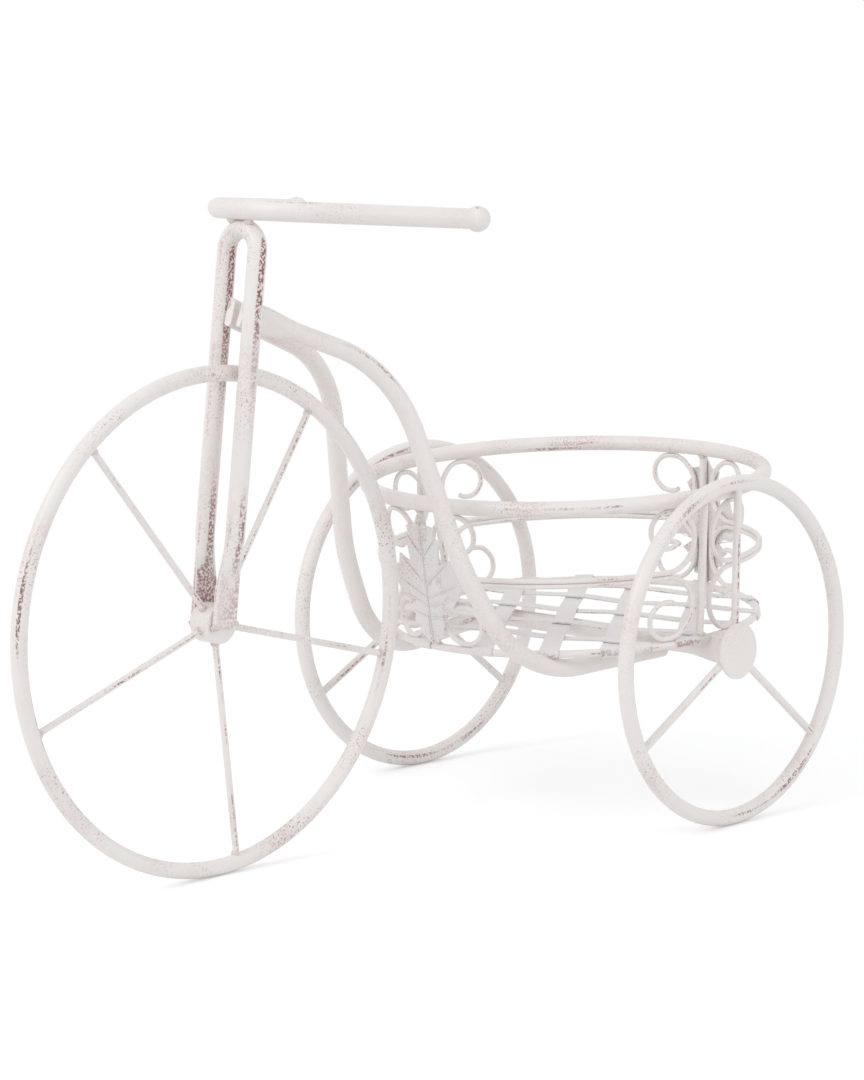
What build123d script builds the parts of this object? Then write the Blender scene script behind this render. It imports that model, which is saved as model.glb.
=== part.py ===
"""Tricycle-shaped plant stand in welded, painted steel: a tall front wheel in a hairpin
fork with a swept handlebar, two bent frame tubes, two rear wheels on a cross tube, and
an oval wire basket with a strip floor, scrolls and two pressed leaves.

Millimetres. +X is forward, +Y the stand's left, +Z up. The origin is on the floor,
midway between the ends of the stand, on its middle plane."""

import os
from math import asin, cos, degrees, radians, sin, sqrt, tan

from build123d import *

# Wheels; the length runs from the front wheel to the back of the rear leaf
overall_length = 719.0
wheel_tube = 12.0
front_radius = 180.0
rear_radius = 128.5
wheelbase = 380.0
rear_wheel_y = 168.82
rear_toe_out = 1.8
front_spoke_wire = 5.0
front_spoke_angles = (51, 124, 195, 264, 341)
rear_spoke_wire = 6.0
rear_spoke_angles = (92, 219, 331)
front_hub_radius = 14.5
front_hub_length = 19.0
hub_disc_radius = 21.5
hub_disc_thickness = 2.5
disc_bed = 0.4

# Fork, handlebar, frame tubes and rear axle
frame_tube = 14.0
flat_height = 22.0
flat_thickness = 4.5
fork_half_gap = 16.0
fork_lean = 7.4
fork_crown_z = 467.3
fork_round_from = 62.0
fork_flat_to = 26.0
fork_foot_below = 2.0
bar_tube = 15.0
bar_knob = 19.0
bar_front = (140.5, 0.0, 481.5)
bar_slope = 4.4
bar_length = 146.0
bar_half_width = 95.5
bar_front_half = 40.5
bar_bend = 57.0
frame_round_end = (104.5, 16.8, 391.8)
frame_flat_start = (127.5, 10.0, 400.7)
frame_corners = ((21.0, 33.4, 359.5), (-18.9, 62.4, 210.4), (-66.6, 78.4, 120.7))
frame_tail = (-202.0, 100.1, 129.4)
frame_bends = (103.0, 208.0, 89.0)
frame_flat_length = 20.5
frame_flat_height = 21.0
frame_flat_thickness = 6.0
axle_z = 134.0
axle_round_half = 126.0
axle_flat_from = 150.0
axle_end = 166.32

# Basket
basket_x = -210.5
basket_z = 142.4
basket_height = 113.6
basket_tilt = 2.76
ring_radius = 144.0
ring_wire = 6.0
rim_radius_x = 151.5
rim_radius_y = 159.02
rim_forward = 4.6
post_wire = 6.0
post_angles = (-4, 84, 175, 267)
wall_radius = 150.0
scroll_wire = 4.0
scroll_outer = 24.1
scroll_inner = 14.5
scroll_inner_turn = 30.0
scroll_post_gap = 9.0
scroll_mid = 55.3
scroll_clear = 0.02
strip_thickness = 1.2
strip_weave = 0.8
strip_plateau = 11.0
strip_end_radius = 144.5
strip_end_flat = 12.0
wide_strip = 15.0
wide_direction = 37.0
wide_offsets = (-106, -56, -5, 41, 95)
narrow_strip = 11.0
narrow_direction = 101.0
narrow_offsets = (-96, -50, -4, 42, 88)
leaf_sheet = 1.5
leaf_fold = 5.5
leaf_rib = 2.6
leaf_rib_out = 1.7
leaf_clear = 0.1
leaf_half = (
    (0, 4), (6, 5), (8, 9), (13, 10), (13, 17), (20, 19), (18, 25), (25, 30), (20, 33),
    (14, 37), (22, 41), (31, 40), (35, 46), (38, 51), (35, 56), (36, 61), (31, 65),
    (29, 72), (23, 69), (16, 67), (17, 78), (20, 84), (14, 89), (16, 96), (6, 98), (0, 106),
)

# Wheel centres worked out from the sizes above
front_x = overall_length / 2 - front_radius - wheel_tube / 2
front_z = front_radius + wheel_tube / 2
rear_x = front_x - wheelbase
rear_z = rear_radius + wheel_tube / 2

os.makedirs("parts", exist_ok=True)


def save(piece, name):
    """Label one finished piece and write it to its own file."""
    piece.part.label = name
    export_step(piece.part, f"parts/{name}.step")


def bend_radii(points):
    """The largest bend at each corner that leaves its two runs a short straight."""
    radii = []
    for before, corner, after in zip(points, points[1:], points[2:]):
        run_in = Vector(*corner) - Vector(*before)
        run_out = Vector(*after) - Vector(*corner)
        turn = radians(run_in.get_angle(run_out))
        radii.append(0.48 * min(run_in.length, run_out.length) / tan(turn / 2))
    return radii


def straight_wire(start, end, diameter, mates):
    """A straight round wire between two points, coped where it meets its mates."""
    run = Vector(*end) - Vector(*start)
    with BuildPart() as wire:
        with BuildSketch(Plane(start, z_dir=run)):
            Circle(diameter / 2)
        extrude(amount=run.length)
        for mate in mates:
            add(mate.part, mode=Mode.SUBTRACT)
    return wire


def wheel_point(plane, radius, angle):
    """The point of a wheel's plane at a radius and an angle from its local x axis."""
    local = (radius * cos(radians(angle)), radius * sin(radians(angle)), 0)
    return plane.from_local_coords(local)


# Front wheel: a bent tube ring, a drum hub and five wire spokes welded between them
front_wheel = Plane(origin=(front_x, 0, front_z), x_dir=(1, 0, 0), z_dir=(0, -1, 0))

with BuildPart(front_wheel) as front_ring:
    Torus(front_radius, wheel_tube / 2)
save(front_ring, "front_wheel_ring")

with BuildPart(front_wheel) as front_hub:
    Cylinder(front_hub_radius, front_hub_length)
    chamfer(front_hub.edges().filter_by(GeomType.CIRCLE), length=0.8)
save(front_hub, "front_hub_drum")

for number, angle in enumerate(front_spoke_angles, start=1):
    inner = wheel_point(front_wheel, front_hub_radius / 2, angle)
    outer = wheel_point(front_wheel, front_radius, angle)
    front_spoke = straight_wire(inner, outer, front_spoke_wire, (front_hub, front_ring))
    save(front_spoke, f"front_spoke_{number}")

# Fork: one tube bent to a hairpin, leaning back, its ends pressed flat on the hub's faces
lean = radians(fork_lean)
fork_up = Vector(-sin(lean), 0, cos(lean))
fork_normal = Vector(cos(lean), 0, sin(lean))
fork_plane = Plane(origin=(front_x, 0, front_z), x_dir=(0, 1, 0), z_dir=fork_normal)
fork_rise = (fork_crown_z - front_z) / cos(lean)
crown_from = fork_rise - fork_half_gap
foot_y = front_hub_length / 2 + flat_thickness / 2

with BuildPart() as fork:
    with BuildLine(fork_plane) as hairpin:
        Line((fork_half_gap, fork_round_from), (fork_half_gap, crown_from))
        ThreePointArc(
            (fork_half_gap, crown_from), (0, fork_rise), (-fork_half_gap, crown_from)
        )
        Line((-fork_half_gap, crown_from), (-fork_half_gap, fork_round_from))
    with BuildSketch(Plane(hairpin.line @ 0, z_dir=hairpin.line % 0)):
        Circle(frame_tube / 2)
    sweep(path=hairpin.line)
    for side in (1, -1):
        round_at = fork_plane.from_local_coords((side * fork_half_gap, fork_round_from, 0))
        flat_at = fork_plane.from_local_coords((side * foot_y, fork_flat_to, 0))
        with BuildSketch(Plane(round_at, x_dir=fork_normal, z_dir=fork_up)):
            Circle(frame_tube / 2)
        with BuildSketch(Plane(flat_at, x_dir=fork_normal, z_dir=fork_up)):
            SlotOverall(flat_height, flat_thickness)
        loft()
        with BuildSketch(Plane(flat_at, x_dir=fork_normal, z_dir=fork_up)):
            SlotOverall(flat_height, flat_thickness)
        extrude(amount=-fork_flat_to - fork_foot_below)
save(fork, "fork")

# Handlebar: one tube swept back from a tight front bend, with a round knob on each end
slope = radians(bar_slope)
bar_plane = Plane(
    origin=bar_front,
    x_dir=(cos(slope), 0, sin(slope)),
    z_dir=(-sin(slope), 0, cos(slope)),
)
bar_run = Vector(bar_length, bar_front_half - bar_half_width).normalized()
knob_seat = sqrt((bar_knob / 2) ** 2 - (bar_tube / 2) ** 2)
bar_start = bar_run * knob_seat + Vector(-bar_length, bar_half_width)
for name, side in (("left", 1), ("right", -1)):
    centre = bar_plane.from_local_coords((-bar_length, side * bar_half_width, 0))
    run = bar_plane.x_dir * bar_run.X + bar_plane.y_dir * side * bar_run.Y
    seat_angle = degrees(asin(2 * knob_seat / bar_knob))
    with BuildPart(Plane(centre, z_dir=run)) as knob:
        Sphere(
            bar_knob / 2,
            arc_size2=seat_angle,
            align=(Align.CENTER, Align.CENTER, Align.NONE),
        )
    save(knob, f"handlebar_knob_{name}")

with BuildPart() as handlebar:
    with BuildLine(bar_plane) as bar_line:
        FilletPolyline(
            (bar_start.X, bar_start.Y),
            (0, bar_front_half),
            (0, -bar_front_half),
            (bar_start.X, -bar_start.Y),
            radius=bar_bend,
        )
    with BuildSketch(Plane(bar_line.line @ 0, z_dir=bar_line.line % 0)):
        Circle(bar_tube / 2)
    sweep(path=bar_line.line)
save(handlebar, "handlebar")

# Rear wheel rings, each a little toed out
toe = radians(rear_toe_out)
wheel_planes = {}
rear_rings = {}
for name, side in (("left", 1), ("right", -1)):
    wheel_planes[name] = Plane(
        origin=(rear_x, side * rear_wheel_y, rear_z),
        x_dir=(0, 0, 1),
        z_dir=(-sin(toe), side * cos(toe), 0),
    )
    with BuildPart(wheel_planes[name]) as rear_ring:
        Torus(rear_radius, wheel_tube / 2)
    rear_rings[name] = rear_ring
    save(rear_ring, f"rear_wheel_ring_{name}")

# Basket: its own plane, tipped a little down at the front, carries the wire rings
tip = radians(basket_tilt)
basket = Plane(
    origin=(basket_x, 0, basket_z),
    x_dir=(cos(tip), 0, -sin(tip)),
    z_dir=(sin(tip), 0, cos(tip)),
)
rim_plane = Plane(
    origin=basket.from_local_coords((rim_forward, 0, basket_height)),
    x_dir=basket.x_dir,
    z_dir=basket.z_dir,
)

with BuildPart() as rim:
    with BuildLine(rim_plane) as rim_line:
        for start in (0, 180):
            EllipticalCenterArc(
                (0, 0), rim_radius_x, rim_radius_y, start_angle=start, arc_size=180
            )
    with BuildSketch(Plane(rim_line.line @ 0, z_dir=rim_line.line % 0)):
        Circle(wheel_tube / 2)
    sweep(path=rim_line.line)
save(rim, "basket_rim")

with BuildPart(basket) as bottom_ring:
    Torus(ring_radius, ring_wire / 2)
save(bottom_ring, "basket_bottom_ring")


def wall_point(angle, height):
    """The point of the basket's wall at an angle from its front and a height on it."""
    rise = height / basket_height
    across = ring_radius + (rim_radius_x - ring_radius) * rise
    along = ring_radius + (rim_radius_y - ring_radius) * rise
    x = rim_forward * rise + across * cos(radians(angle))
    y = along * sin(radians(angle))
    return basket.from_local_coords((x, y, height))


posts = []
for name, angle in zip(("front", "left", "rear", "right"), post_angles):
    foot = wall_point(angle, 1)
    top = wall_point(angle, basket_height)
    post = straight_wire(foot, top, post_wire, (bottom_ring, rim))
    posts.append(post)
    save(post, f"basket_post_{name}")

# Rear hubs: three spokes in each wheel and a plain disc welded outside them
rear_spokes = []
for name, side in (("left", 1), ("right", -1)):
    wheel = wheel_planes[name]
    rear_ring = rear_rings[name]
    with BuildPart(wheel.offset(rear_spoke_wire / 2 - disc_bed)) as disc:
        Cylinder(
            hub_disc_radius,
            hub_disc_thickness,
            align=(Align.CENTER, Align.CENTER, Align.MIN),
        )
        fillet(disc.edges().filter_by(GeomType.CIRCLE), radius=0.6)
    save(disc, f"rear_hub_disc_{name}")

    for number, angle in enumerate(rear_spoke_angles, start=1):
        inner = wheel_point(wheel, 2.6, side * (90 - angle))
        outer = wheel_point(wheel, rear_radius, side * (90 - angle))
        rear_spoke = straight_wire(inner, outer, rear_spoke_wire, (disc, rear_ring))
        rear_spokes.append(rear_spoke)
        save(rear_spoke, f"rear_spoke_{name}_{number}")

# Rear axle: a straight tube, its ends pressed flat and upright against the spokes
with BuildPart() as axle:
    for side in (1, -1):
        outward = (0, side, 0)
        round_at = (rear_x, side * axle_round_half, axle_z)
        flat_at = (rear_x, side * axle_flat_from, axle_z)
        with BuildSketch(Plane((rear_x, 0, axle_z), x_dir=(1, 0, 0), z_dir=outward)):
            Circle(frame_tube / 2)
        extrude(amount=axle_round_half)
        with BuildSketch(Plane(round_at, x_dir=(1, 0, 0), z_dir=outward)):
            Circle(frame_tube / 2)
        with BuildSketch(Plane(flat_at, x_dir=(1, 0, 0), z_dir=outward)):
            SlotOverall(flat_height, flat_thickness, rotation=90)
        loft()
        with BuildSketch(Plane(flat_at, x_dir=(1, 0, 0), z_dir=outward)):
            SlotOverall(flat_height, flat_thickness, rotation=90)
        extrude(amount=axle_end - axle_flat_from)
    for mate in (bottom_ring, *rear_spokes):
        add(mate.part, mode=Mode.SUBTRACT)
save(axle, "rear_axle")

# Frame tubes: bent down from the fork, under the basket and back to the axle
for name, side in (("left", 1), ("right", -1)):
    corners = [
        (x, side * y, z) for x, y, z in (frame_round_end, *frame_corners, frame_tail)
    ]
    flat_at = (frame_flat_start[0], side * frame_flat_start[1], frame_flat_start[2])
    forward = (Vector(*corners[0]) - Vector(*corners[1])).normalized()
    upright = forward.cross(Vector(0, 0, 1)).cross(forward)
    with BuildPart() as frame:
        with BuildLine() as path:
            FilletPolyline(*corners, radius=frame_bends)
        with BuildSketch(Plane(path.line @ 0, z_dir=path.line % 0)):
            Circle(frame_tube / 2)
        sweep(path=path.line)
        with BuildSketch(Plane(corners[0], x_dir=upright, z_dir=forward)):
            Circle(frame_tube / 2)
        with BuildSketch(Plane(flat_at, x_dir=upright, z_dir=forward)):
            SlotOverall(frame_flat_height, frame_flat_thickness)
        loft()
        with BuildSketch(Plane(flat_at, x_dir=upright, z_dir=forward)):
            SlotOverall(frame_flat_height, frame_flat_thickness)
        extrude(amount=frame_flat_length)
        for mate in (fork, axle, bottom_ring):
            add(mate.part, mode=Mode.SUBTRACT)
    save(frame, f"frame_tube_{name}")


# Scrolls: two open curls back to back in each quarter of the basket's wall
def turn_corners(centre, radius, start, count):
    """The corners of a polyline that, rounded, follows an arc by steps of 45 degrees."""
    reach = radius / cos(radians(22.5))
    angles = [radians(start + 22.5 + 45 * step) for step in range(count)]
    return [(centre[0] + reach * cos(a), centre[1] + reach * sin(a)) for a in angles]


def scroll_corners(half_span):
    """A C scroll opening upward, as distances along the wall and above its back."""
    turn = half_span - scroll_post_gap - scroll_outer
    top = 2 * scroll_outer
    outer = turn_corners((turn, scroll_outer), scroll_outer, -90, 4)
    inner_centre = (turn, top - scroll_inner)
    inner = turn_corners(inner_centre, scroll_inner, 90, 4)
    last = radians(270 + scroll_inner_turn / 2)
    tip = radians(270 + scroll_inner_turn)
    reach = scroll_inner / cos(radians(scroll_inner_turn / 2))
    curl = outer + inner
    curl.append((turn + reach * cos(last), inner_centre[1] + reach * sin(last)))
    curl.append(
        (turn + scroll_inner * cos(tip), inner_centre[1] + scroll_inner * sin(tip))
    )
    back = [(step * turn * 0.27, 0) for step in (-3, -2, -1, 0, 1, 2, 3)]
    mirrored = [(-along, up) for along, up in reversed(curl)]
    return mirrored + back + curl


lower_scrolls = []
panel_ends = zip(post_angles, (*post_angles[1:], post_angles[0] + 360))
panels = ("front_left", "rear_left", "rear_right", "front_right")
for name, (start, end) in zip(panels, panel_ends):
    half_span = wall_radius * radians(end - start) / 2
    corners = scroll_corners(half_span)
    for level, up in (("upper", 1), ("lower", -1)):
        points = []
        for along, rise in corners:
            angle = (start + end) / 2 + degrees(along / wall_radius)
            height = scroll_mid + up * (scroll_wire / 2 + scroll_clear + rise)
            points.append(wall_point(angle, height))
        with BuildPart() as scroll:
            with BuildLine() as path:
                FilletPolyline(*points, radius=bend_radii(points))
            with BuildSketch(Plane(path.line @ 0, z_dir=path.line % 0)):
                Circle(scroll_wire / 2)
            sweep(path=path.line)
        if level == "lower":
            lower_scrolls.append(scroll)
        save(scroll, f"scroll_{level}_{name}")

# Floor: wide and narrow strips woven across the bottom ring
with BuildPart(basket) as floor_disc:
    Cylinder(strip_end_radius, 20)


def strip_profile(half_length, crossings):
    """The top and bottom lines of one strip, over and under the strips it crosses."""
    heights = []
    for along, level in crossings:
        heights += [(along - strip_plateau, level), (along + strip_plateau, level)]
    margin = half_length - strip_end_flat
    first = heights[0][1] if heights[0][0] < -margin else 0
    last = heights[-1][1] if heights[-1][0] > margin else 0
    inside = [point for point in heights if abs(point[0]) < margin]
    line = [(-half_length - 8, first), (-margin, first), *inside]
    line += [(margin, last), (half_length + 8, last)]
    low = ring_wire / 2
    bottom = [(along, low + level) for along, level in line]
    top = [(along, low + level + strip_thickness) for along, level in reversed(line)]
    return bottom + top


def floor_strip(direction, offset, width, crossings):
    """One strip across the floor, its ends trimmed to the ring and coped to the wires."""
    turn = radians(direction)
    along = basket.x_dir * cos(turn) + basket.y_dir * sin(turn)
    across = basket.y_dir * cos(turn) - basket.x_dir * sin(turn)
    half_length = sqrt(strip_end_radius**2 - offset**2)
    side_view = Plane(basket.origin + across * offset, x_dir=along, z_dir=-across)
    with BuildPart() as strip:
        with BuildSketch(side_view):
            with BuildLine():
                Polyline(*strip_profile(half_length, crossings), close=True)
            make_face()
        extrude(amount=width / 2, both=True)
        add(floor_disc.part, mode=Mode.INTERSECT)
        for mate in (bottom_ring, *posts, *lower_scrolls):
            add(mate.part, mode=Mode.SUBTRACT)
    return strip


between = radians(narrow_direction - wide_direction)
for row, offset in enumerate(wide_offsets):
    reach = sqrt(strip_end_radius**2 - offset**2) + strip_plateau
    crossings = []
    for column, other in enumerate(narrow_offsets):
        place = (other + offset * cos(between)) / sin(between)
        if abs(place) < reach:
            crossings.append((place, strip_weave * (-1) ** (row + column)))
    strip = floor_strip(wide_direction, offset, wide_strip, crossings)
    save(strip, f"floor_strip_wide_{row + 1}")

for column, offset in enumerate(narrow_offsets):
    reach = sqrt(strip_end_radius**2 - offset**2) + strip_plateau
    crossings = []
    for row, other in enumerate(wide_offsets):
        place = (other + offset * cos(between)) / sin(between)
        if abs(place) < reach:
            crossings.append((place, -strip_weave * (-1) ** (row + column)))
    strip = floor_strip(narrow_direction, -offset, narrow_strip, crossings)
    save(strip, f"floor_strip_narrow_{column + 1}")

# Leaves: pressed sheet, folded along a rib, outside the front and rear posts
leaf_width = 2 * max(across for across, up in leaf_half) + 4
leaf_low = leaf_half[0][1]
leaf_top = leaf_half[-1][1]
fold_back = tan(radians(leaf_fold)) * leaf_width / 2
folded_sheet = leaf_sheet / cos(radians(leaf_fold))
for name, angle in (("front", post_angles[0]), ("rear", post_angles[2])):
    foot = wall_point(angle, 0)
    rise = (wall_point(angle, basket_height) - foot).normalized()
    tangent = basket.y_dir * cos(radians(angle)) - basket.x_dir * sin(radians(angle))
    outward = tangent.cross(rise).normalized()
    around = rise.cross(outward)
    spine = foot + outward * (post_wire / 2 + leaf_clear)
    outline = [*leaf_half, *((-across, up) for across, up in leaf_half[-2:0:-1])]
    with BuildPart() as leaf:
        with BuildSketch(Plane(spine + rise * leaf_low, x_dir=around, z_dir=rise)):
            with BuildLine():
                Polyline(
                    (0, 0),
                    (leaf_width / 2, fold_back),
                    (leaf_width / 2, fold_back - folded_sheet),
                    (0, -folded_sheet),
                    (-leaf_width / 2, fold_back - folded_sheet),
                    (-leaf_width / 2, fold_back),
                    close=True,
                )
            make_face()
        extrude(amount=leaf_top - leaf_low)
        with BuildSketch(Plane(spine, x_dir=around, z_dir=outward)):
            with BuildLine():
                Polyline(*outline, close=True)
            make_face()
        extrude(amount=leaf_width / 4, both=True, mode=Mode.INTERSECT)
        rib_foot = spine + outward * leaf_rib_out + rise * (leaf_low + leaf_rib)
        with BuildSketch(Plane(rib_foot, z_dir=rise)):
            Circle(leaf_rib / 2)
        extrude(amount=leaf_top - leaf_low - 3 * leaf_rib)
    save(leaf, f"leaf_{name}")
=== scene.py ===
import math
import random

import bmesh
import bpy
from mathutils import Matrix, Vector


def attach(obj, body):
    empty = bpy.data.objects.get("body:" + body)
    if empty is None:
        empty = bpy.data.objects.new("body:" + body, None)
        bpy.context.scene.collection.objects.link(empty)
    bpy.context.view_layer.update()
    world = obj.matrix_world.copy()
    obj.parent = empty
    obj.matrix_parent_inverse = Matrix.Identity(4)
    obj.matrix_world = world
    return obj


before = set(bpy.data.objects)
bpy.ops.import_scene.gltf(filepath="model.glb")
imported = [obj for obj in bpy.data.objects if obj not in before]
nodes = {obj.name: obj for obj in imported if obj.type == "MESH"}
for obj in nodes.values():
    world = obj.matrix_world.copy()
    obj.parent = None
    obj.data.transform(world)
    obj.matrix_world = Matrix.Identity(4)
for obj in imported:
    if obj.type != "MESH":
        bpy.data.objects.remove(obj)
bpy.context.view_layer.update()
scene = bpy.context.scene

# Camera
# The photograph's viewpoint, worked out from the ovals of its wheels and basket rings:
# a long lens ahead of the stand and to its left, looking a little down.
camera_place = Vector((2.0066, 2.0309, 0.6528))
camera_azimuth = math.radians(-135.38)
camera_pitch = math.radians(-8.50)
camera_roll = math.radians(-0.59)
camera_lens = 128.33
camera_sensor = 36

forward = Vector((
    math.cos(camera_azimuth) * math.cos(camera_pitch),
    math.sin(camera_azimuth) * math.cos(camera_pitch),
    math.sin(camera_pitch),
))
level_right = forward.cross(Vector((0, 0, 1))).normalized()
level_up = level_right.cross(forward)
right = level_right * math.cos(camera_roll) + level_up * math.sin(camera_roll)
up = level_up * math.cos(camera_roll) - level_right * math.sin(camera_roll)
camera_data = bpy.data.cameras.new("photo_camera")
camera_data.lens = camera_lens
camera_data.sensor_width = camera_sensor
camera_data.sensor_fit = "AUTO"
camera = bpy.data.objects.new("photo_camera", camera_data)
turn = Matrix((right, up, -forward)).transposed().to_4x4()
camera.matrix_world = Matrix.Translation(camera_place) @ turn
scene.collection.objects.link(camera)
scene.camera = camera

# Studio
# A white room with even light all round, a large key lamp ahead and above, and a weak fill.
# The pale floor takes the stand's shadow and fades into the white backdrop further out.
plain_white = (1, 1, 1, 1)
even_colour = (0.97, 0.98, 1.0, 1)
even_strength = 0.74
floor_colour = (0.93, 0.93, 0.93, 1)
floor_roughness = 0.9
floor_glow = 0.22
floor_reach = 12.0
fade_from = 0.5
fade_to = 1.5
lamp_target = Vector((0, 0, 0.2))
key_place = Vector((2.6, -0.4, 2.4))
key_size = 2.2
key_power = 34
fill_place = Vector((-0.6, 2.8, 1.6))
fill_size = 2.0
fill_power = 14


def background_rays(tree):
    """1 for rays that show the background: to the camera, in gloss or through glass."""
    rays = tree.nodes.new("ShaderNodeLightPath")
    shown = rays.outputs["Is Camera Ray"]
    for kind in ("Is Glossy Ray", "Is Transmission Ray"):
        either = tree.nodes.new("ShaderNodeMath")
        either.operation = "MAXIMUM"
        tree.links.new(shown, either.inputs[0])
        tree.links.new(rays.outputs[kind], either.inputs[1])
        shown = either.outputs[0]
    return shown


def lamp(name, place, size, power):
    """A square lamp that faces the middle of the stand."""
    light = bpy.data.lights.new(name, "AREA")
    light.size = size
    light.energy = power
    holder = bpy.data.objects.new(name, light)
    holder.location = place
    holder.rotation_euler = (lamp_target - place).to_track_quat("-Z", "Y").to_euler()
    scene.collection.objects.link(holder)


scene.view_settings.view_transform = "Standard"
world = bpy.data.worlds.new("studio")
world.use_nodes = True
scene.world = world
world_tree = world.node_tree
world_tree.nodes.clear()
even_light = world_tree.nodes.new("ShaderNodeBackground")
even_light.inputs["Color"].default_value = even_colour
even_light.inputs["Strength"].default_value = even_strength
backdrop = world_tree.nodes.new("ShaderNodeBackground")
backdrop.inputs["Color"].default_value = plain_white
backdrop.inputs["Strength"].default_value = 1.0
world_mix = world_tree.nodes.new("ShaderNodeMixShader")
world_out = world_tree.nodes.new("ShaderNodeOutputWorld")
world_tree.links.new(background_rays(world_tree), world_mix.inputs["Fac"])
world_tree.links.new(even_light.outputs[0], world_mix.inputs[1])
world_tree.links.new(backdrop.outputs[0], world_mix.inputs[2])
world_tree.links.new(world_mix.outputs[0], world_out.inputs["Surface"])

lamp("key", key_place, key_size, key_power)
lamp("fill", fill_place, fill_size, fill_power)

floor_material = bpy.data.materials.new("pale_floor")
floor_material.use_nodes = True
floor_tree = floor_material.node_tree
floor_shader = floor_tree.nodes["Principled BSDF"]
floor_shader.inputs["Base Color"].default_value = floor_colour
floor_shader.inputs["Roughness"].default_value = floor_roughness
floor_shader.inputs["Emission Strength"].default_value = floor_glow
floor_tree.links.new(background_rays(floor_tree), floor_shader.inputs["Emission Color"])
floor_place = floor_tree.nodes.new("ShaderNodeTexCoord")
floor_distance = floor_tree.nodes.new("ShaderNodeVectorMath")
floor_distance.operation = "LENGTH"
floor_tree.links.new(floor_place.outputs["Object"], floor_distance.inputs[0])
floor_fade = floor_tree.nodes.new("ShaderNodeMapRange")
floor_fade.interpolation_type = "SMOOTHSTEP"
floor_fade.inputs["From Min"].default_value = fade_from
floor_fade.inputs["From Max"].default_value = fade_to
floor_tree.links.new(floor_distance.outputs["Value"], floor_fade.inputs["Value"])
floor_clear = floor_tree.nodes.new("ShaderNodeBsdfTransparent")
floor_mix = floor_tree.nodes.new("ShaderNodeMixShader")
floor_tree.links.new(floor_fade.outputs[0], floor_mix.inputs["Fac"])
floor_tree.links.new(floor_shader.outputs[0], floor_mix.inputs[1])
floor_tree.links.new(floor_clear.outputs[0], floor_mix.inputs[2])
floor_out = floor_tree.nodes["Material Output"]
floor_tree.links.new(floor_mix.outputs[0], floor_out.inputs["Surface"])

floor_corners = [
    (x * floor_reach, y * floor_reach, 0)
    for x, y in ((-1, -1), (1, -1), (1, 1), (-1, 1))
]
floor_mesh = bpy.data.meshes.new("floor")
floor_mesh.from_pydata(floor_corners, [], [(0, 1, 2, 3)])
floor_mesh.materials.append(floor_material)
floor = bpy.data.objects.new("floor", floor_mesh)
scene.collection.objects.link(floor)

# Wheels
# Each wheel is a bent tube ring with wire spokes welded to a drum in front or a disc behind.
# The whole stand is brushed off-white over brown metal and rubbed through by hand in places;
# the front ring is stippled all the way round.
off_white = (0.85, 0.805, 0.775, 1)
pink_haze = (0.69, 0.54, 0.50, 1)
worn_brown = (0.24, 0.085, 0.075, 1)
paint_roughness = 0.46
paint_coat = 0.08
brush_scale = 260
brush_strength = 0.22
brush_depth = 0.0008
rubbed_edge = 0.5


def new_group(name, inputs):
    """An empty node group with named inputs and a Mask output, and its two end nodes."""
    group = bpy.data.node_groups.new(name, "ShaderNodeTree")
    for label, kind, value in inputs:
        socket = group.interface.new_socket(label, in_out="INPUT", socket_type=kind)
        socket.default_value = value
    group.interface.new_socket("Mask", in_out="OUTPUT", socket_type="NodeSocketFloat")
    return group, group.nodes.new("NodeGroupInput"), group.nodes.new("NodeGroupOutput")


def link_or_set(tree, value, socket):
    """Link another node's socket, or set a plain value."""
    if isinstance(value, bpy.types.NodeSocket):
        tree.links.new(value, socket)
    else:
        socket.default_value = value


def math_node(tree, operation, first, second):
    """A math node over two values or sockets."""
    node = tree.nodes.new("ShaderNodeMath")
    node.operation = operation
    link_or_set(tree, first, node.inputs[0])
    link_or_set(tree, second, node.inputs[1])
    return node.outputs[0]


def vector_math_node(tree, operation, first, second):
    """A vector math node over two sockets, with both of its outputs."""
    node = tree.nodes.new("ShaderNodeVectorMath")
    node.operation = operation
    tree.links.new(first, node.inputs[0])
    tree.links.new(second, node.inputs[1])
    return node.outputs


def ramp_node(tree, value, low, high, out_low=0.0, out_high=1.0):
    """A smooth map from one range to another."""
    node = tree.nodes.new("ShaderNodeMapRange")
    node.interpolation_type = "SMOOTHSTEP"
    tree.links.new(value, node.inputs["Value"])
    limits = (low, high, out_low, out_high)
    for label, limit in zip(("From Min", "From Max", "To Min", "To Max"), limits):
        node.inputs[label].default_value = limit
    return node.outputs[0]


def noise_node(tree, place, scale, detail=3.0):
    """A noise texture over a place, with its scale as a value or a socket."""
    node = tree.nodes.new("ShaderNodeTexNoise")
    node.inputs["Detail"].default_value = detail
    link_or_set(tree, scale, node.inputs["Scale"])
    tree.links.new(place, node.inputs["Vector"])
    return node.outputs["Fac"]


def place_node(tree):
    """The stand's own coordinates, in metres."""
    return tree.nodes.new("ShaderNodeTexCoord").outputs["Object"]


def end_mask(group, end, start, *masks):
    """All masks multiplied together and by the group's Amount, as its result."""
    result = masks[0]
    for mask in masks[1:]:
        result = math_node(group, "MULTIPLY", result, mask)
    result = math_node(group, "MULTIPLY", result, start.outputs["Amount"])
    group.links.new(result, end.inputs["Mask"])


# Haze: broad pinkish clouds, broken up by a fine grain.
haze_group, start, end = new_group("Haze", [("Amount", "NodeSocketFloat", 0.4)])
where = place_node(haze_group)
cloud = ramp_node(haze_group, noise_node(haze_group, where, 14, 4), 0.46, 0.74)
grain = ramp_node(haze_group, noise_node(haze_group, where, 420, 2), 0.30, 0.62)
end_mask(haze_group, end, start, cloud, grain)

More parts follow.
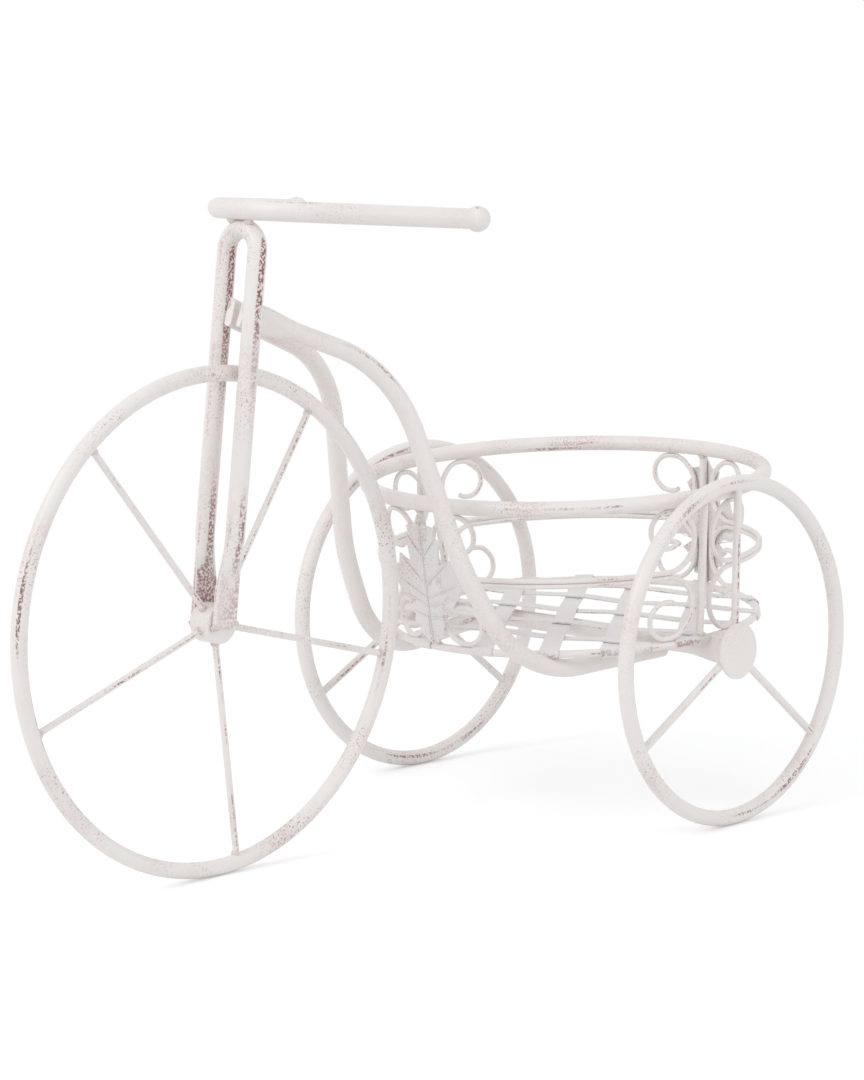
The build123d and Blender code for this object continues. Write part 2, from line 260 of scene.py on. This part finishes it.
# Specks: fine brown dots that gather in patches.
speck_group, start, end = new_group("Specks", [("Amount", "NodeSocketFloat", 0.5)])
where = place_node(speck_group)
dots = ramp_node(speck_group, noise_node(speck_group, where, 760, 3), 0.57, 0.66)
patches = ramp_node(speck_group, noise_node(speck_group, where, 15, 4), 0.42, 0.68)
end_mask(speck_group, end, start, dots, patches)

# Rubbed streaks: ragged lines along the side of a tube that faces one direction.
streak_group, start, end = new_group(
    "Rubbed_Streak",
    [
        ("Direction", "NodeSocketVector", (0, 0, 1)),
        ("Width", "NodeSocketFloat", 0.03),
        ("Amount", "NodeSocketFloat", 1.0),
        ("Stretch", "NodeSocketVector", (60, 60, 60)),
        ("Patch", "NodeSocketFloat", 9.0),
    ],
)
ragged_depth = 3.2
where = place_node(streak_group)
normal = streak_group.nodes.new("ShaderNodeNewGeometry").outputs["Normal"]
facing = vector_math_node(streak_group, "DOT_PRODUCT", normal, start.outputs["Direction"])
away = math_node(streak_group, "SUBTRACT", 1.0, facing["Value"])
away = math_node(streak_group, "DIVIDE", away, start.outputs["Width"])
stretched = vector_math_node(streak_group, "MULTIPLY", where, start.outputs["Stretch"])
ragged = noise_node(streak_group, stretched[0], 1.0, 6)
ragged = math_node(streak_group, "SUBTRACT", ragged, 0.5)
ragged = math_node(streak_group, "MULTIPLY", ragged, ragged_depth)
edge = math_node(streak_group, "ADD", away, ragged)
edge = ramp_node(streak_group, edge, 0.25, 0.85, 1, 0)
patch = noise_node(streak_group, where, start.outputs["Patch"])
patch = ramp_node(streak_group, patch, 0.42, 0.60)
crumbs = ramp_node(streak_group, noise_node(streak_group, where, 540, 4), 0.40, 0.58)
end_mask(streak_group, end, start, edge, patch, crumbs)


def use_group(tree, group, values):
    """A group node with its inputs set to plain values, and its mask socket."""
    node = tree.nodes.new("ShaderNodeGroup")
    node.node_tree = group
    for label, value in values.items():
        node.inputs[label].default_value = value
    return node.outputs["Mask"]


def mix_colour(tree, mask, below, above):
    """One colour over another by a mask; each is a plain colour or a socket."""
    node = tree.nodes.new("ShaderNodeMix")
    node.data_type = "RGBA"
    tree.links.new(mask, node.inputs["Factor"])
    link_or_set(tree, below, node.inputs[6])
    link_or_set(tree, above, node.inputs[7])
    return node.outputs[2]


def streak(direction, width, amount, stretch, patch):
    """The inputs of one rubbed streak."""
    return {
        "Direction": Vector(direction).normalized(),
        "Width": width,
        "Amount": amount,
        "Stretch": stretch,
        "Patch": patch,
    }


def paint(name, base, haze, specks, streaks=(), roughness=paint_roughness):
    """Brushed paint over brown metal, with haze, specks and any rubbed streaks."""
    material = bpy.data.materials.new(name)
    material.use_nodes = True
    tree = material.node_tree
    shader = tree.nodes["Principled BSDF"]
    colour = mix_colour(tree, use_group(tree, haze_group, {"Amount": haze}), base, pink_haze)
    worn_masks = []
    for values in streaks:
        mask = use_group(tree, streak_group, values)
        halo = math_node(tree, "MULTIPLY", mask, rubbed_edge)
        colour = mix_colour(tree, halo, colour, pink_haze)
        worn_masks.append(mask)
    if worn_masks:
        worn = worn_masks[0]
        for mask in worn_masks[1:]:
            worn = math_node(tree, "MAXIMUM", worn, mask)
        colour = mix_colour(tree, worn, colour, worn_brown)
    speck_mask = use_group(tree, speck_group, {"Amount": specks})
    colour = mix_colour(tree, speck_mask, colour, worn_brown)
    tree.links.new(colour, shader.inputs["Base Color"])
    shader.inputs["Roughness"].default_value = roughness
    shader.inputs["Coat Weight"].default_value = paint_coat
    bump = tree.nodes.new("ShaderNodeBump")
    bump.inputs["Strength"].default_value = brush_strength
    bump.inputs["Distance"].default_value = brush_depth
    tree.links.new(noise_node(tree, place_node(tree), brush_scale), bump.inputs["Height"])
    tree.links.new(bump.outputs["Normal"], shader.inputs["Normal"])
    return material


def dress(material, *names):
    """Give CAD nodes this paint."""
    for name in names:
        for place in nodes[name].material_slots:
            place.link = "OBJECT"
            place.material = material


front_ring_paint = paint(
    "paint_front_ring",
    off_white,
    haze=0.55,
    specks=0.9,
    streaks=[
        streak((0.75, 0.62, 0.2), width=0.035, amount=0.9, stretch=(22, 60, 22), patch=16),
        streak((-0.5, 0.8, 0.3), width=0.03, amount=0.7, stretch=(30, 60, 30), patch=20),
    ],
)
dress(front_ring_paint, "front_wheel_ring")
rear_ring_paint = paint(
    "paint_rear_rings",
    off_white,
    haze=0.5,
    specks=0.7,
    streaks=[streak((0.1, 0.95, 0.3), width=0.03, amount=0.8, stretch=(30, 60, 30), patch=14)],
)
dress(rear_ring_paint, "rear_wheel_ring_left", "rear_wheel_ring_right")
spoke_paint = paint(
    "paint_spokes",
    off_white,
    haze=0.5,
    specks=0.5,
    streaks=[streak((0.25, 0.95, 0.1), width=0.05, amount=0.9, stretch=(40, 90, 40), patch=18)],
)
dress(spoke_paint, *[name for name in nodes if "spoke" in name])
hub_paint = paint("paint_hubs", off_white, haze=0.25, specks=0.25)
dress(hub_paint, "front_hub_drum", "rear_hub_disc_left", "rear_hub_disc_right")

# Fork
# One tube bent into a hairpin, with its ends pressed flat and welded to the front hub.
# Hands and pots rub its inner and outer sides, so long ragged streaks run down both blades.
fork_stretch = (90, 90, 12)
fork_paint = paint(
    "paint_fork",
    off_white,
    haze=0.6,
    specks=0.6,
    streaks=[
        streak((0.1, 0.98, 0.1), width=0.12, amount=1.0, stretch=fork_stretch, patch=5),
        streak((0.95, 0.2, 0.1), width=0.03, amount=0.6, stretch=fork_stretch, patch=11),
    ],
)
dress(fork_paint, "fork")

# Frame tubes and axle
# Two bent tubes run from between the fork's blades, down and under the basket, to the axle.
# They are rubbed along their upper, outer side.
frame_paint = paint(
    "paint_frame_tubes",
    off_white,
    haze=0.4,
    specks=0.35,
    streaks=[streak((-0.1, 0.9, 0.42), width=0.03, amount=0.95, stretch=(40, 60, 24), patch=8)],
)
dress(frame_paint, "frame_tube_left", "frame_tube_right", "rear_axle")

# Handlebar
# One swept tube welded on the fork's crown, with a round knob closing each end.
# Only its top is lightly worn.
bar_paint = paint(
    "paint_handlebar",
    off_white,
    haze=0.35,
    specks=0.4,
    streaks=[streak((0.3, 0.3, 0.9), width=0.025, amount=0.6, stretch=(24, 24, 60), patch=10)],
)
dress(bar_paint, "handlebar", "handlebar_knob_left", "handlebar_knob_right")

# Basket wires
# An oval tube rim and a round wire ring, joined by four posts and eight curled scrolls.
# The rim is rubbed on its outside, above and below; the thin wires are worn less.
rim_paint = paint(
    "paint_rim",
    off_white,
    haze=0.6,
    specks=0.7,
    streaks=[
        streak((0.75, 0.6, 0.1), width=0.05, amount=0.9, stretch=(30, 30, 70), patch=12),
        streak((0.5, 0.6, -0.6), width=0.04, amount=0.7, stretch=(30, 30, 70), patch=16),
    ],
)
dress(rim_paint, "basket_rim")
wire_paint = paint(
    "paint_wires",
    off_white,
    haze=0.4,
    specks=0.35,
    streaks=[streak((0.5, 0.8, 0.0), width=0.05, amount=0.6, stretch=(50, 50, 30), patch=20)],
)
dress(wire_paint, "basket_bottom_ring")
dress(wire_paint, *[name for name in nodes if name.startswith(("basket_post", "scroll"))])

# Floor strips and leaves
# Cut from thin sheet: strips woven across the bottom ring, and two pressed leaves on posts.
# Their flat faces look a little cooler, and the leaves are stained by the rib.
cool_white = (0.80, 0.775, 0.755, 1)
strip_roughness = 0.42
strip_paint = paint(
    "paint_strips",
    cool_white,
    haze=0.35,
    specks=0.3,
    streaks=[streak((0.6, 0.8, -0.1), width=0.35, amount=0.55, stretch=(30, 30, 90), patch=20)],
    roughness=strip_roughness,
)
dress(strip_paint, *[name for name in nodes if name.startswith("floor_strip")])
leaf_paint = paint(
    "paint_leaves",
    cool_white,
    haze=0.55,
    specks=0.55,
    streaks=[streak((0.9, 0.3, 0.0), width=0.10, amount=0.5, stretch=(60, 60, 40), patch=26)],
)
dress(leaf_paint, "leaf_front", "leaf_rear")

# Weld beads
# Small uneven lumps of weld metal, painted over, where tubes and wires are joined.
# Each is a round form with every point pushed in or out a little by four random waves.
bead_colour = (0.74, 0.64, 0.60, 1)
bead_paint = paint("paint_weld_beads", bead_colour, haze=0.8, specks=0.9)
bead_random = random.Random(11)
bead_waves = 4
bead_wave_count = 3
bead_lump = 0.10

front_axle_x = 0.1735
front_axle_z = 0.186
hub_bead_forward = 0.009
hub_bead_out = 0.0118
hub_bead_z = 0.1850
hub_bead_size = (0.0035, 0.0030, 0.0028)
crown_bead = (0.1400, 0.0085, 0.4730)
crown_bead_size = (0.0030, 0.0045, 0.0022)
tube_end_bead = (0.1430, 0.0085, 0.4085)
tube_end_bead_size = (0.0040, 0.0022, 0.0065)

basket_tip = math.radians(2.76)
basket_centre = Vector((-0.2105, 0, 0.1424))
basket_x = Vector((math.cos(basket_tip), 0, -math.sin(basket_tip)))
basket_y = Vector((0, 1, 0))
basket_z = Vector((math.sin(basket_tip), 0, math.cos(basket_tip)))
basket_height = 0.1136
bottom_radius = 0.144
rim_grows_x = 0.0075
rim_grows_y = 0.01502
rim_shifts_x = 0.0046
post_front_turn = -4
post_left_turn = 84
post_rear_turn = 175
post_right_turn = 267
post_turns = (post_front_turn, post_left_turn, post_rear_turn, post_right_turn)
post_top_bead = 0.1075
post_top_bead_size = (0.0038, 0.0038, 0.0020)
post_foot_bead = 0.0035
post_foot_bead_size = (0.0036, 0.0036, 0.0016)

rear_axle_x = -0.2065
disc_bead_out = 0.1640
disc_bead_heights = (0.1450, 0.1240)
disc_bead_size = (0.0034, 0.0026, 0.0030)
axle_bead = (-0.2015, 0.1001, 0.1370)
axle_bead_size = (0.0055, 0.0060, 0.0020)
front_spoke_turns = (51, 124, 195, 264, 341)
spoke_bead_radii = (0.0152, 0.1735)
spoke_bead_size = (0.0030, 0.0032, 0.0030)


def new_piece(name, build, material, smooth=True):
    """A finished mesh as a piece of the stand."""
    for face in build.faces:
        face.smooth = smooth
    mesh = bpy.data.meshes.new(name)
    build.to_mesh(mesh)
    build.free()
    mesh.materials.append(material)
    piece = bpy.data.objects.new(name, mesh)
    scene.collection.objects.link(piece)
    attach(piece, "root")
    return piece


def add_bead(build, place, size):
    """One lumpy weld bead."""
    ball = bmesh.ops.create_icosphere(build, subdivisions=3, radius=1.0)
    waves = [Vector([bead_random.uniform(-1, 1) for _ in range(3)]) for _ in range(bead_waves)]
    for vertex in ball["verts"]:
        lump = sum(math.sin(bead_wave_count * vertex.co.dot(wave)) for wave in waves)
        vertex.co = vertex.co * (1 + bead_lump * lump)
        vertex.co = Vector([c * s for c, s in zip(vertex.co, size)]) + Vector(place)


def bead_piece(name, beads):
    """A set of beads as one piece; each bead is a place and a size."""
    build = bmesh.new()
    for place, size in beads:
        add_bead(build, place, size)
    return new_piece(name, build, bead_paint)


def mirrored(place, side):
    """A place on the left of the stand, moved to its left (1) or right (-1)."""
    return (place[0], side * place[1], place[2])


def wall_point(angle, height):
    """A point on the basket's wall, which widens from the round ring to the oval rim."""
    rise = height / basket_height
    across = (bottom_radius + rim_grows_x * rise) * math.cos(angle) + rim_shifts_x * rise
    along = (bottom_radius + rim_grows_y * rise) * math.sin(angle)
    return basket_centre + basket_x * across + basket_y * along + basket_z * height


fork_beads = []
for side in (1, -1):
    for forward_step in (-hub_bead_forward, hub_bead_forward):
        place = (front_axle_x + forward_step, side * hub_bead_out, hub_bead_z)
        fork_beads.append((place, hub_bead_size))
    fork_beads.append((mirrored(crown_bead, side), crown_bead_size))
    fork_beads.append((mirrored(tube_end_bead, side), tube_end_bead_size))
bead_piece("weld_beads_fork", fork_beads)

basket_beads = []
for degrees_round in post_turns:
    angle = math.radians(degrees_round)
    basket_beads.append((wall_point(angle, post_top_bead), post_top_bead_size))
    basket_beads.append((wall_point(angle, post_foot_bead), post_foot_bead_size))
bead_piece("weld_beads_basket", basket_beads)

wheel_beads = []
for side in (1, -1):
    for height in disc_bead_heights:
        wheel_beads.append(((rear_axle_x, side * disc_bead_out, height), disc_bead_size))
    wheel_beads.append((mirrored(axle_bead, side), axle_bead_size))
for degrees_round in front_spoke_turns:
    angle = math.radians(degrees_round)
    for radius in spoke_bead_radii:
        x = front_axle_x + radius * math.cos(angle)
        z = front_axle_z + radius * math.sin(angle)
        wheel_beads.append(((x, 0, z), spoke_bead_size))
bead_piece("weld_beads_wheels", wheel_beads)

# Folded strip ends
# Each floor strip ends in a tab bent down round the outside of the bottom ring.
# The tabs were folded by hand, so each stops at a slightly different turn.
fold_random = random.Random(5)
wide_direction = 37
wide_width = 0.0150
wide_offsets = (-0.106, -0.056, -0.005, 0.041, 0.095)
narrow_direction = 101
narrow_width = 0.0110
narrow_offsets = (-0.096, -0.050, -0.004, 0.042, 0.088)
tab_inside = 0.0031
tab_outside = 0.0043
tab_first_turn = math.radians(95)
tab_least_end = -60
tab_most_end = -25
tab_steps_across = 8
tab_steps_round = 12


def skin(build, rings):
    """Close a row of equal rings of points into one solid, with both ends capped."""
    count = len(rings[0])
    for first, second in zip(rings, rings[1:]):
        for index in range(count):
            follow = (index + 1) % count
            build.faces.new((first[index], first[follow], second[follow], second[index]))
    build.faces.new(rings[0][::-1])
    build.faces.new(rings[-1])


def ring_point(angle, radius, tilt):
    """A point round the bottom ring's wire, at a radius and a tilt about the wire."""
    out = bottom_radius + radius * math.cos(tilt)
    level = basket_x * (out * math.cos(angle)) + basket_y * (out * math.sin(angle))
    return basket_centre + level + basket_z * (radius * math.sin(tilt))


def add_tab(build, direction, offset, width, way):
    """The tab at one end of a strip, wrapped round the wire where the strip crosses it."""
    along = math.radians(direction)
    half = way * math.sqrt(bottom_radius**2 - offset**2)
    x = half * math.cos(along) - offset * math.sin(along)
    y = half * math.sin(along) + offset * math.cos(along)
    middle = math.atan2(y, x)
    slant = abs(half) / bottom_radius
    spread = width / slant / bottom_radius
    last_turn = math.radians(fold_random.uniform(tab_least_end, tab_most_end))
    turns = [
        tab_first_turn + (last_turn - tab_first_turn) * step / tab_steps_round
        for step in range(tab_steps_round + 1)
    ]
    rows = []
    for step in range(tab_steps_across + 1):
        angle = middle + spread * (step / tab_steps_across - 0.5)
        points = [ring_point(angle, tab_inside, tilt) for tilt in turns]
        points += [ring_point(angle, tab_outside, tilt) for tilt in reversed(turns)]
        rows.append([build.verts.new(point) for point in points])
    skin(build, rows)


fold_build = bmesh.new()
strips = [(wide_direction, offset, wide_width) for offset in wide_offsets]
strips += [(narrow_direction, -offset, narrow_width) for offset in narrow_offsets]
for direction, offset, width in strips:
    for way in (1, -1):
        add_tab(fold_build, direction, offset, width, way)
bmesh.ops.recalc_face_normals(fold_build, faces=fold_build.faces)
new_piece("strip_folds", fold_build, strip_paint, smooth=False)

# Leaf veins
# Thin tapered ridges, pressed into the leaf's sheet, run from its rib to its lobes.
# Each leaf stands outside a post, folded back a little along the rib.
vein_starts = (0.072, 0.050, 0.040, 0.034, 0.024)
vein_ends = ((0.018, 0.091), (0.026, 0.070), (0.033, 0.052), (0.028, 0.040), (0.021, 0.028))
leaf_out = 0.0046
leaf_fold = math.radians(5.5)
vein_radius = 0.0008
vein_taper = 0.75
vein_bow = 0.0006
vein_flatness = 0.8
vein_steps = 8
vein_sides = 10


def add_vein(build, first, last, outward):
    """One tapered vein, bowed a little off the leaf."""
    run = (last - first).normalized()
    flat_side = run.cross(outward).normalized()
    rings = []
    for step in range(vein_steps + 1):
        share = step / vein_steps
        thick = vein_radius * (1 - vein_taper * share)
        centre = first.lerp(last, share) + outward * (vein_bow * math.sin(math.pi * share))
        ring = []
        for part in range(vein_sides):
            turn_by = 2 * math.pi * part / vein_sides
            shift = flat_side * math.cos(turn_by)
            shift += outward * math.sin(turn_by) * vein_flatness
            ring.append(build.verts.new(centre + shift * thick))
        rings.append(ring)
    skin(build, rings)


for name, degrees_round in (("front", post_front_turn), ("rear", post_rear_turn)):
    angle = math.radians(degrees_round)
    foot = wall_point(angle, 0)
    rise = (wall_point(angle, basket_height) - foot).normalized()
    tangent = basket_y * math.cos(angle) - basket_x * math.sin(angle)
    outward = tangent.cross(rise).normalized()
    around = rise.cross(outward)
    spine = foot + outward * leaf_out
    build = bmesh.new()
    for side in (1, -1):
        wing = around * (side * math.cos(leaf_fold)) - outward * math.sin(leaf_fold)
        for (reach_out, reach_up), low in zip(vein_ends, vein_starts):
            add_vein(build, spine + rise * low, spine + wing * reach_out + rise * reach_up, outward)
    bmesh.ops.recalc_face_normals(build, faces=build.faces)
    new_piece(f"leaf_veins_{name}", build, leaf_paint)
